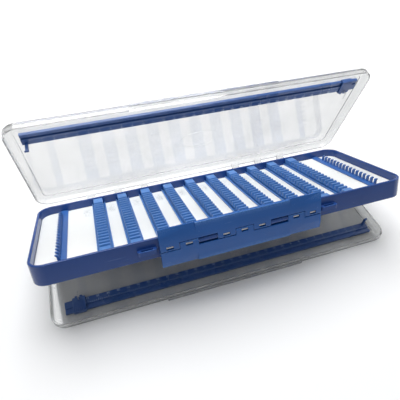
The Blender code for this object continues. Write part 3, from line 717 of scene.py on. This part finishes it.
def comb_mesh(side):
    """Low strip with its inner edge at COMB_INNER, and posts that lean towards the end wall."""
    strip = [(0, BAR_BASE), (COMB_POST_END, BAR_BASE), (COMB_POST_END, BAR_BASE + COMB_STRIP_HIGH),
             (COMB_POST_START, BAR_BASE + COMB_STRIP_HIGH), (0, BAR_BASE + COMB_STRIP_LOW)]
    post = [(COMB_POST_START, BAR_BASE + COMB_STRIP_LOW),
            (COMB_POST_START + COMB_LEAN, BAR_TOP - COMB_HOOK),
            (COMB_POST_START + 2 * COMB_LEAN, BAR_TOP), (COMB_POST_END + COMB_HOOK, BAR_TOP),
            (COMB_POST_END + COMB_HOOK, BAR_TOP - COMB_HOOK / 2),
            (COMB_POST_END, BAR_TOP - 1.5 * COMB_HOOK),
            (COMB_POST_END - COMB_ROUND, BAR_BASE + COMB_STRIP_LOW)]
    strip, post = [[(side * (COMB_INNER + x), z) for x, z in outline] for outline in (strip, post)]
    strip = rounded(pulled([strip], "Y", -BAR_LENGTH / 2, BAR_LENGTH / 2), COMB_ROUND, 2, 25)
    post = rounded(pulled([post], "Y", -COMB_POST_THICKNESS / 2, COMB_POST_THICKNESS / 2),
                   COMB_ROUND, 2, 25)
    posts = row_of(post, NOTCH_COUNT - 1, (0.0, NOTCH_PITCH, 0.0), COMB_BLUE)
    posts.transform(Matrix.Translation((0.0, NOTCH_ROW_MIDDLE, 0.0)))
    return boolean(strip, "UNION", [posts])


for level, turn in (("upper", Matrix.Identity(4)), ("lower", TURNED_OVER)):
    for side, hand in ((-1, "left"), (1, "right")):
        shown = hand if level == "upper" else ("left" if side == 1 else "right")
        finished(f"{level}_end_comb_{shown}", comb_mesh(side), TRAY @ turn, COMB_BLUE, "tray",
                 "blue_plastic", f"{level}_comb_{shown}")

# --- Clear lids --------------------------------------------------------------------------------
# Two like mouldings in clear styrene, one over each face of the tray. Each has a shallow wall,
# a thicker border round a thin panel, a ledge for the latch and six knuckles on arms that
# reach down behind the tray.

PARTING = Matrix.Translation((0.0, 0.0, HINGE_DROP))
UPPER_LID = (TRAY @ Matrix.Translation((0.0, HINGE_Y, HALF_HEIGHT - HINGE_DROP))
             @ Matrix.Rotation(-LID_OPEN, 4, "X") @ PARTING)
LOWER_LID = Matrix.Translation(TRAY_HINGE) @ PARTING.inverted() @ TURNED_OVER
LID_DEPTH = node_box("upper_lid", UPPER_LID)[1].z
LID_SETBACK = 0.6 * MM
LID_LENGTH = TRAY_LENGTH - 2 * LID_SETBACK
LID_WIDTH = TRAY_WIDTH - 2 * LID_SETBACK
LID_CORNER = TRAY_CORNER - LID_SETBACK
LID_WALL = 1.6 * MM
PARTING_GAP = 0.1 * MM
LID_BORDER = 9 * MM
LID_BORDER_STEP = 0.5 * MM
LID_PANEL_SINK = 0.25 * MM
LID_EDGE_ROUND = 1.8 * MM
LID_INNER_ROUND = 0.9 * MM
LEDGE_LENGTH = 147 * MM
LEDGE_REACH = 2.3 * MM
LEDGE_ABOVE_RIM = 2.4 * MM
LEDGE_HEIGHT = 3.4 * MM
LEDGE_ROUND = 0.5 * MM
ARM_ROOT_HEIGHT = 5.5 * MM
BADGE_LENGTH = 45 * MM
BADGE_WIDTH = 26 * MM
BADGE_FROM_HINGE = 61.5 * MM
BADGE_LINE = 0.8 * MM
GATE_RADIUS = 1.3 * MM


def clear_material():
    """Clear styrene: glassy, with a slight ripple, a little haze and faint hairlines."""
    made = bpy.data.materials.new("clear_styrene")
    made.use_nodes = True
    tree = made.node_tree
    shader = tree.nodes["Principled BSDF"]
    shader.inputs["Transmission Weight"].default_value = 0.88
    shader.inputs["IOR"].default_value = 1.49
    place = tree.nodes.new("ShaderNodeTexCoord").outputs["Object"]
    surface = tree.nodes.new("ShaderNodeGroup")
    surface.node_tree = MOULDED
    surface.inputs["Colour"].default_value = (0.80, 0.80, 0.795, 1.0)
    surface.inputs["Worn Colour"].default_value = (0.97, 0.97, 0.97, 1.0)
    surface.inputs["Roughness"].default_value = 0.05
    surface.inputs["Wear"].default_value = 0.3
    surface.inputs["Scratches"].default_value = 0.35
    tree.links.new(surface.outputs["Colour"], shader.inputs["Base Color"])
    tree.links.new(surface.outputs["Roughness"], shader.inputs["Roughness"])
    bumped(tree, shader, noise(tree, place, 45.0, 2.0), 0.15, 0.2 * MM)
    shadow = tree.nodes.new("ShaderNodeBsdfTransparent")
    shadow.inputs["Color"].default_value = (0.88, 0.90, 0.91, 1.0)
    path = tree.nodes.new("ShaderNodeLightPath")
    mixed = tree.nodes.new("ShaderNodeMixShader")
    tree.links.new(path.outputs["Is Shadow Ray"], mixed.inputs["Fac"])
    tree.links.new(shader.outputs["BSDF"], mixed.inputs[1])
    tree.links.new(shadow.outputs["BSDF"], mixed.inputs[2])
    tree.links.new(mixed.outputs["Shader"], tree.nodes["Material Output"].inputs["Surface"])
    return made


CLEAR = clear_material()


def oval(length, width, centre, steps=48):
    return [(centre[0] + length / 2 * math.cos(2 * math.pi * i / steps),
             centre[1] + width / 2 * math.sin(2 * math.pi * i / steps)) for i in range(steps)]


def lid_profile():
    """Section of a closed lid as (inset, height), from its outer panel to its inner panel."""
    under = LID_DEPTH - LID_WALL
    border = under - LID_BORDER_STEP
    outer = LID_BORDER - LID_WALL
    outside = [(outer, LID_DEPTH - LID_PANEL_SINK), (outer - LID_PANEL_SINK, LID_DEPTH)]
    outside += arc((LID_EDGE_ROUND, LID_DEPTH - LID_EDGE_ROUND), LID_EDGE_ROUND, 90, 180, 6)
    lip = arc((LID_WALL / 4, PARTING_GAP + LID_WALL / 4), LID_WALL / 4, 180, 270, 3)
    lip += arc((LID_WALL * 0.75, PARTING_GAP + LID_WALL / 4), LID_WALL / 4, 270, 360, 3)
    inside = arc((LID_WALL + LID_INNER_ROUND, border - LID_INNER_ROUND), LID_INNER_ROUND, 180, 90, 4)
    return outside + lip + inside + [(LID_BORDER - LID_BORDER_STEP, border), (LID_BORDER, under)]


def lid_mesh():
    centre = (0.0, -HINGE_Y)
    shell = swept(lid_profile(), LID_LENGTH, LID_WIDTH, LID_CORNER, centre, 12, ring=False)
    front = -HINGE_Y - LID_WIDTH / 2
    ledge = block((-LEDGE_LENGTH / 2, front - LEDGE_REACH, LEDGE_ABOVE_RIM),
                  (LEDGE_LENGTH / 2, front + LID_WALL / 2, LEDGE_ABOVE_RIM + LEDGE_HEIGHT), LEDGE_ROUND, 3)
    root_y = LID_WIDTH / 2 - HINGE_Y - LID_WALL / 2
    axis = (0.0, -HINGE_DROP)
    arm = [(root_y, ARM_ROOT_HEIGHT), (root_y, HINGE_GAP), (-BARREL_RADIUS, HINGE_GAP)]
    arm += arc(axis, BARREL_RADIUS, 180, 390, 24)
    half = KNUCKLE_LENGTH / 2
    knuckles = []
    for group in GROUPS:
        knuckle = rounded(pulled([arm, hinge_bore(axis)], "X", group - half, group + half), EDGE_FILLET)
        knuckles.append(row_of(knuckle, STATIONS, (STATION_PITCH, 0.0, 0.0), CLEAR))
    badge = (0.0, -BADGE_FROM_HINGE)
    rings = [oval(BADGE_LENGTH, BADGE_WIDTH, badge),
             oval(BADGE_LENGTH - 2 * BADGE_LINE, BADGE_WIDTH - 2 * BADGE_LINE, badge)]
    raised = LID_DEPTH - LID_PANEL_SINK / 4
    marks = [pulled(rings, "Z", LID_DEPTH - LID_WALL / 2, raised),
             pulled([circle(badge, GATE_RADIUS, 24)], "Z", LID_DEPTH - LID_WALL / 2, raised)]
    return boolean(shell, "UNION", [ledge] + knuckles + marks)


lid = lid_mesh()
for level, placing in (("upper", UPPER_LID), ("lower", LOWER_LID)):
    finished(f"{level}_clear_lid", lid.copy(), placing, CLEAR, f"{level}_lid", "clear_plastic",
             f"{level}_lid")

# --- Hinge pins ----------------------------------------------------------------------------------
# Drawn steel wire cut to length, two for each lid. Each is pushed through three of the lid's
# knuckles and the pairs of lugs beside them.

PIN_OVERHANG = 1.2 * MM
PIN_END_ROUND = 0.3 * MM


def steel_material():
    made = bpy.data.materials.new("drawn_steel")
    made.use_nodes = True
    tree = made.node_tree
    shader = tree.nodes["Principled BSDF"]
    shader.inputs["Metallic"].default_value = 1.0
    place = tree.nodes.new("ShaderNodeTexCoord").outputs["Object"]
    lines = noise(tree, stretched(tree, place, (60.0, 2600.0, 2600.0)), 1.0, 2.0)
    colour = blended(tree, lines, (0.52, 0.52, 0.53), (0.74, 0.74, 0.75))
    tree.links.new(colour, shader.inputs["Base Color"])
    tree.links.new(ramp(tree, lines, 0.2, 0.8, 0.18, 0.34), shader.inputs["Roughness"])
    bumped(tree, shader, lines, 0.15, 0.05 * MM)
    return made


STEEL = steel_material()


def rod(radius, start, end, centre):
    return rounded(pulled([circle(centre, radius, 32)], "X", start, end), PIN_END_ROUND, 2, 60)


hinge_pin_half = ((STATIONS - 1) / 2 * STATION_PITCH + KNUCKLE_LENGTH / 2 + HINGE_GAP
                  + LUG_LENGTH + PIN_OVERHANG)
for side, level in ((1, "upper"), (-1, "lower")):
    for group in GROUPS:
        hand = "right" if side * group > 0 else "left"
        wire = rod(HINGE_PIN_RADIUS, side * group - hinge_pin_half, side * group + hinge_pin_half,
                   (HINGE_Y, side * (HALF_HEIGHT - HINGE_DROP)))
        finished(f"{level}_hinge_wire_{hand}", wire, TRAY, STEEL, "tray", "steel",
                 f"{level}_hinge_pin_{hand}")

# --- Latch plates and their pin --------------------------------------------------------------------
# Two blue plates share one steel pin across the tray's front, one for each lid. Their knuckles
# interleave with the tray's two, each knuckle has a window, and the corners thin out for a thumb.

LATCH_CLEARANCE = 0.6 * MM
LATCH_INNER_Y = -LID_WIDTH / 2 - LEDGE_REACH - LATCH_CLEARANCE
LATCH_TOP = node_box("upper_latch", TRAY)[1].z
LATCH_THICKNESS = 3.6 * MM
LATCH_FACE_Y = LATCH_INNER_Y - LATCH_THICKNESS
WINDOW_LENGTH = 6.5 * MM
WINDOW_HEIGHT = 3.3 * MM
WINDOW_BACK_Y = LATCH_PIN.y + 0.15 * MM
THUMB_LENGTH = 33 * MM
THUMB_HEIGHT = 8.6 * MM
THUMB_DEPTH = 1.8 * MM
PLATE_FILLET = 0.5 * MM
TAB_ROUND = 1.2 * MM
LATCH_BLUE = moulded_material("latch_blue", (0.013, 0.092, 0.336), (0.14, 0.32, 0.68),
                              0.16, 0.6, 0.5, 0.15)


def latch_mesh(owner, side):
    """A plate above the pin, with a tab around the pin for each segment of its own. With side
    -1 it is mirrored to lie below the pin."""
    foot = LATCH_BARREL_RADIUS + SEGMENT_GAP
    end = LATCH_START + LATCH_LENGTH
    plate = block((LATCH_START, LATCH_FACE_Y, foot), (end, LATCH_INNER_Y, LATCH_TOP), PLATE_FILLET, 3)
    rear_angle = math.degrees(math.acos((LATCH_INNER_Y - LATCH_PIN.y) / LATCH_BARREL_RADIUS))
    web_top = foot + 2 * SEGMENT_GAP
    bore = LATCH_PIN_RADIUS + PIN_CLEARANCE
    tab = arc((LATCH_FACE_Y + TAB_ROUND, TAB_ROUND - LATCH_BARREL_RADIUS), TAB_ROUND, 180, 270, 5)
    tab += arc((LATCH_PIN.y, 0.0), LATCH_BARREL_RADIUS, 270, rear_angle + 360, 16)
    loops = [[(LATCH_INNER_Y, web_top), (LATCH_FACE_Y, web_top)] + tab,
             circle((LATCH_PIN.y, 0.0), bore, ROUND_SIDES)]
    spans = [segment_span(i) for i, letter in enumerate(SEGMENTS) if letter == owner]
    for span in spans:
        plate = boolean(plate, "UNION", [rounded(pulled(loops, "X", *span), EDGE_FILLET)])
    window_front = LATCH_FACE_Y - LATCH_THICKNESS
    windows = [block(((start + stop - WINDOW_LENGTH) / 2, window_front, -WINDOW_HEIGHT / 2),
                     ((start + stop + WINDOW_LENGTH) / 2, WINDOW_BACK_Y, WINDOW_HEIGHT / 2))
               for start, stop in spans]
    plate = boolean(plate, "DIFFERENCE", windows)
    thumb_foot = LATCH_TOP - THUMB_HEIGHT
    over = LATCH_TOP + THUMB_DEPTH
    slope = THUMB_DEPTH / THUMB_HEIGHT
    wedge = [(LATCH_FACE_Y - THUMB_DEPTH, thumb_foot), (LATCH_FACE_Y, thumb_foot),
             (LATCH_FACE_Y + slope * (over - thumb_foot), over), (LATCH_FACE_Y - THUMB_DEPTH, over)]
    thumbs = [pulled([wedge], "X", LATCH_START - THUMB_DEPTH, LATCH_START + THUMB_LENGTH),
              pulled([wedge], "X", end - THUMB_LENGTH, end + THUMB_DEPTH)]
    plate = boolean(plate, "DIFFERENCE", thumbs)
    if side < 0:
        plate.transform(Matrix.Scale(-1, 4, (0, 0, 1)))
        plate.flip_normals()
    return plate


for owner, side, level in (("U", 1, "upper"), ("L", -1, "lower")):
    finished(f"{level}_latch_plate", latch_mesh(owner, side), TRAY, LATCH_BLUE, f"{level}_latch",
             "blue_plastic", f"{level}_latch")
latch_rod = rod(LATCH_PIN_RADIUS, LATCH_START + SEGMENT_GAP, LATCH_START + LATCH_LENGTH - SEGMENT_GAP,
                (LATCH_PIN.y, 0.0))
finished("latch_wire", latch_rod, TRAY, STEEL, "tray", "steel", "latch_pin")

# --- Measuring rails -------------------------------------------------------------------------------
# A dark blue strip fixed inside each lid near its free edge, with a groove, a lower ridge and a
# hooked peg at one end. A pale centimetre scale is printed along it.

rail_low, rail_high = node_box("upper_rail", UPPER_LID)
RAIL_LENGTH = rail_high.x - rail_low.x
RAIL_FREE = rail_low.y
RAIL_HINGE_SIDE = rail_high.y
RAIL_SEAT = rail_high.z
RAIL_HEIGHT = 3.8 * MM
RAIL_FACE = RAIL_SEAT - RAIL_HEIGHT
RAIL_GROOVE_WIDTH = 1.2 * MM
RAIL_GROOVE_DEPTH = 1.6 * MM
RAIL_RIDGE_WIDTH = 3.6 * MM
RAIL_RIDGE_DROP = 0.8 * MM
RAIL_ROUND = 0.25 * MM
PEG_WIDTH = 2.8 * MM
PEG_THICKNESS = 2.0 * MM
PEG_FROM_RAIL_END = 3.6 * MM
PEG_HOOK = 1.0 * MM
PRINT_HEIGHT = 0.06 * MM
CENTIMETRE = 10 * MM
SCALE_LINE = 0.35 * MM
FIGURE_HEIGHT = 3.2 * MM
LONG_MARK = 2.4 * MM
SHORT_MARK = 1.2 * MM
wire_low, wire_high = node_box("upper_cursor_pin", UPPER_LID)
WIRE_Y = (wire_low.y + wire_high.y) / 2
RAIL_BLUE = moulded_material("rail_blue", (0.022, 0.072, 0.24), (0.12, 0.22, 0.5),
                             0.28, 0.5, 0.5, 0.2, 0.3)
SCALE_PAINT = moulded_material("scale_paint", (0.42, 0.52, 0.70), (0.6, 0.66, 0.78),
                               0.45, 0.0, 0.4, 0.2)


def rail_mesh():
    ridge = RAIL_FREE + RAIL_RIDGE_WIDTH
    groove = RAIL_FACE + RAIL_GROOVE_DEPTH
    outline = [(RAIL_HINGE_SIDE, RAIL_SEAT), (RAIL_FREE, RAIL_SEAT),
               (RAIL_FREE, RAIL_FACE + RAIL_RIDGE_DROP), (ridge, RAIL_FACE + RAIL_RIDGE_DROP),
               (ridge, groove), (ridge + RAIL_GROOVE_WIDTH, groove),
               (ridge + RAIL_GROOVE_WIDTH, RAIL_FACE), (RAIL_HINGE_SIDE, RAIL_FACE)]
    strip = rounded(pulled([outline], "X", -RAIL_LENGTH / 2, RAIL_LENGTH / 2), RAIL_ROUND)
    x = -RAIL_LENGTH / 2 + PEG_FROM_RAIL_END
    tip = rail_low.z
    left, right = x - PEG_WIDTH / 2, x + PEG_WIDTH / 2
    hook = [(right, groove), (left, groove), (left, tip + PEG_HOOK), (left - PEG_HOOK, tip + PEG_HOOK / 2),
            (left - PEG_HOOK, tip), (right - PEG_HOOK / 2, tip), (right, tip + PEG_HOOK / 2)]
    peg = rounded(pulled([hook], "Y", WIRE_Y - PEG_THICKNESS / 2, WIRE_Y + PEG_THICKNESS / 2), RAIL_ROUND)
    return boolean(strip, "UNION", [peg])


def figure(number):
    """A number of the scale, facing the tray, its foot towards the hinge."""
    text = bpy.data.curves.new("figure", "FONT")
    text.body = str(number)
    text.size = FIGURE_HEIGHT
    text.align_x = "CENTER"
    text.extrude = PRINT_HEIGHT / 2
    text.resolution_u = 3
    mesh = taken(held(text))
    mesh.transform(Matrix.Rotation(math.pi, 4, "X"))
    return mesh


def scale_mesh():
    """Marks from the peg to the far end: long ones at centimetres, short ones between."""
    start = RAIL_FREE + RAIL_RIDGE_WIDTH + RAIL_GROOVE_WIDTH + 2 * RAIL_ROUND
    face = RAIL_FACE - PRINT_HEIGHT
    zero = -RAIL_LENGTH / 2 + 2 * PEG_FROM_RAIL_END
    count = int((RAIL_LENGTH / 2 - PEG_FROM_RAIL_END - zero) / CENTIMETRE) + 1
    print_sets = []
    for length, step, number in ((LONG_MARK, CENTIMETRE, count), (SHORT_MARK, CENTIMETRE / 5, 5 * count - 4)):
        mark = block((-SCALE_LINE / 2, start, face), (SCALE_LINE / 2, start + length, RAIL_FACE))
        marks = row_of(mark, number, (step, 0.0, 0.0), SCALE_PAINT)
        marks.transform(Matrix.Translation((zero + step * (number - 1) / 2, 0.0, 0.0)))
        print_sets.append(marks)
    for i in range(1, count):
        digits = figure(i)
        digits.transform(Matrix.Translation((zero + i * CENTIMETRE, RAIL_HINGE_SIDE - 2 * RAIL_ROUND,
                                             RAIL_FACE - PRINT_HEIGHT / 2)))
        print_sets.append(digits)
    return joined(print_sets)


rail = rail_mesh()
scale = scale_mesh()
for level, placing in (("upper", UPPER_LID), ("lower", LOWER_LID)):
    finished(f"{level}_measuring_rail", rail.copy(), placing, RAIL_BLUE, f"{level}_lid", "blue_plastic",
             f"{level}_rail")
    finished(f"{level}_rail_scale", scale.copy(), placing, SCALE_PAINT, f"{level}_lid", "blue_plastic")

# --- Cursors and their wires -------------------------------------------------------------------------
# A blue saddle slides along each rail, with two small blocks on its hinge side. A steel wire
# stands in it, bends over towards the hinge and ends in a hook.

cursor_low, cursor_high = node_box("upper_cursor", UPPER_LID)
CURSOR_WALL = 1.2 * MM
CURSOR_GAP = 0.3 * MM
CURSOR_FACE = cursor_low.z
CURSOR_X = (cursor_low.x + cursor_high.x) / 2
CURSOR_LENGTH = cursor_high.x - cursor_low.x
CURSOR_BOSS_LENGTH = 2.6 * MM
WIRE_RADIUS = 0.5 * MM
WIRE_HOOK = 1.6 * MM
WIRE_REACH = 5.5 * MM
GRIP_RIBS = 5
GRIP_GROOVE = 0.5 * MM


def cursor_mesh():
    inner_free, inner_hinge = RAIL_FREE - CURSOR_GAP, RAIL_HINGE_SIDE + CURSOR_GAP
    outer_free, outer_hinge = inner_free - CURSOR_WALL, inner_hinge + CURSOR_WALL
    under = CURSOR_FACE + CURSOR_WALL
    skirt = cursor_high.z
    outline = [(outer_free, skirt), (outer_free, CURSOR_FACE),
               (outer_hinge, CURSOR_FACE), (outer_hinge, skirt),
               (inner_hinge, skirt), (inner_hinge, under), (inner_free, under), (inner_free, skirt)]
    start, end = CURSOR_X - CURSOR_LENGTH / 2, CURSOR_X + CURSOR_LENGTH / 2
    saddle = rounded(pulled([outline], "X", start, end), RAIL_ROUND, 3)
    added = []
    for side in (-1, 1):
        near = CURSOR_X + side * WIRE_RADIUS * 2
        far = near + side * CURSOR_BOSS_LENGTH
        added.append(block((min(near, far), outer_hinge - CURSOR_WALL / 2, CURSOR_FACE + RAIL_ROUND / 4),
                           (max(near, far), cursor_high.y, under + CURSOR_WALL), RAIL_ROUND))
    saddle = boolean(saddle, "UNION", added)
    hole = pulled([circle((CURSOR_X, WIRE_Y), WIRE_RADIUS + CURSOR_GAP, 24)], "Z",
                  CURSOR_FACE - CURSOR_WALL, CURSOR_FACE + CURSOR_WALL * 2 / 3)
    groove = block((-GRIP_GROOVE / 2, outer_free - CURSOR_WALL, CURSOR_FACE - CURSOR_WALL),
                   (GRIP_GROOVE / 2, outer_free + 3 * CURSOR_WALL, CURSOR_FACE + CURSOR_WALL / 3))
    grooves = row_of(groove, GRIP_RIBS, (CURSOR_LENGTH / (GRIP_RIBS + 2), 0.0, 0.0), RAIL_BLUE)
    grooves.transform(Matrix.Translation((CURSOR_X, 0.0, 0.0)))
    return boolean(saddle, "DIFFERENCE", [hole, grooves])


def wire_mesh():
    tip = wire_low.z + WIRE_RADIUS
    points = [(CURSOR_X, WIRE_Y, wire_high.z), (CURSOR_X, WIRE_Y, tip + WIRE_HOOK)]
    points += [(CURSOR_X, WIRE_Y + WIRE_HOOK - WIRE_HOOK * math.cos(math.radians(a)),
                tip + WIRE_HOOK - WIRE_HOOK * math.sin(math.radians(a))) for a in range(10, 91, 10)]
    points += [(CURSOR_X - WIRE_HOOK + WIRE_HOOK * math.cos(math.radians(a)),
                WIRE_Y + WIRE_REACH + WIRE_HOOK * math.sin(math.radians(a)), tip) for a in range(0, 61, 10)]
    curve = bpy.data.curves.new("wire", "CURVE")
    curve.dimensions = "3D"
    curve.bevel_depth = WIRE_RADIUS
    curve.bevel_resolution = 6
    curve.use_fill_caps = True
    spline = curve.splines.new("POLY")
    spline.points.add(len(points) - 1)
    for point, at in zip(spline.points, points):
        point.co = (*at, 1)
    mesh = taken(held(curve))
    form = bmesh.new()
    form.from_mesh(mesh)
    bmesh.ops.remove_doubles(form, verts=form.verts, dist=WELD_DISTANCE)
    form.to_mesh(mesh)
    form.free()
    return mesh


cursor = cursor_mesh()
hooked_wire = wire_mesh()
for level, placing in (("upper", UPPER_LID), ("lower", LOWER_LID)):
    finished(f"{level}_sliding_cursor", cursor.copy(), placing, RAIL_BLUE, f"{level}_cursor",
             "blue_plastic", f"{level}_cursor")
    finished(f"{level}_cursor_wire", hooked_wire.copy(), placing, STEEL, f"{level}_cursor", "steel",
             f"{level}_cursor_pin")
